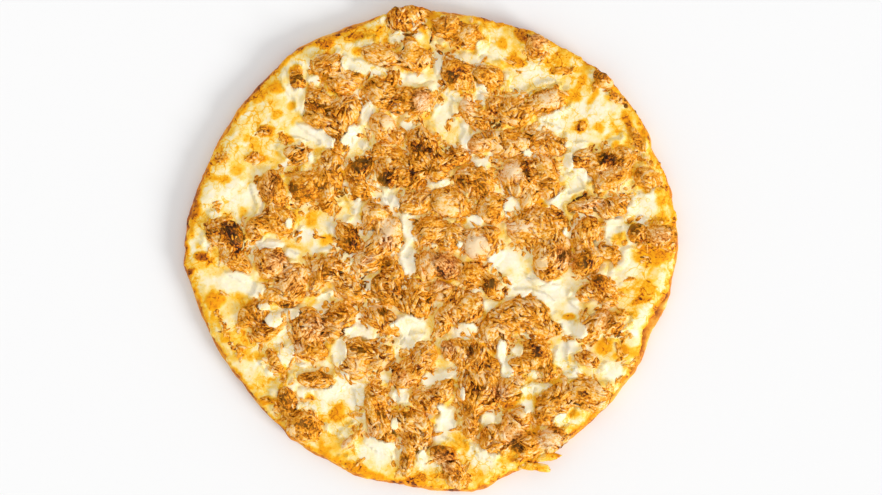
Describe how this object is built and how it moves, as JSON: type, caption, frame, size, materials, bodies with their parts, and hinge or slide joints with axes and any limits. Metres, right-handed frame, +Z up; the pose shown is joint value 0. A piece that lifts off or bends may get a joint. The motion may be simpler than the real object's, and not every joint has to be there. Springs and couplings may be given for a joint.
{
  "type": "tuna pizza",
  "caption": "Thin round baked pizza: a low dough base with a browned edge, melted cheese to the rim and heaps of flaked tuna.",
  "frame": {"origin": "middle of the footprint, on the surface that the pizza lies on", "axes": "+Z up through the pizza; +Y away from the viewer and +X to the right as the picture shows it from above"},
  "size_m": [0.3044, 0.2998, 0.0198],
  "materials": {
    "crust": "baked dough, golden to brown with darker blisters, matte and floury below",
    "cheese": "melted cheese, cream white in pools, golden and orange where it browned, softly glossy",
    "tuna": "flaked cooked tuna, tan and pinkish beige fibres with orange oily edges and brown crevices"
  },
  "bodies": {
    "root": {"crust": "crust", "cheese": "cheese", "tuna_01": "tuna", "tuna_02": "tuna", "tuna_03": "tuna", "tuna_04": "tuna", "tuna_05": "tuna", "tuna_06": "tuna", "tuna_07": "tuna", "tuna_08": "tuna", "tuna_09": "tuna", "tuna_10": "tuna", "tuna_11": "tuna", "tuna_12": "tuna", "tuna_13": "tuna", "tuna_14": "tuna", "tuna_15": "tuna", "tuna_16": "tuna", "tuna_17": "tuna", "tuna_18": "tuna", "tuna_19": "tuna", "tuna_20": "tuna", "tuna_21": "tuna", "tuna_22": "tuna", "tuna_23": "tuna", "tuna_24": "tuna", "tuna_25": "tuna", "tuna_26": "tuna", "tuna_27": "tuna", "tuna_28": "tuna", "tuna_29": "tuna", "tuna_30": "tuna", "tuna_31": "tuna", "tuna_32": "tuna", "tuna_33": "tuna", "tuna_34": "tuna", "tuna_35": "tuna", "tuna_36": "tuna", "tuna_37": "tuna", "tuna_38": "tuna", "tuna_39": "tuna", "tuna_40": "tuna", "tuna_41": "tuna", "tuna_42": "tuna", "tuna_43": "tuna", "tuna_44": "tuna", "tuna_45": "tuna", "tuna_46": "tuna", "tuna_47": "tuna", "tuna_48": "tuna", "tuna_49": "tuna", "tuna_50": "tuna", "tuna_51": "tuna", "tuna_52": "tuna", "tuna_53": "tuna", "tuna_54": "tuna", "tuna_55": "tuna", "tuna_56": "tuna", "tuna_57": "tuna", "tuna_58": "tuna"}
  },
  "joints": []
}
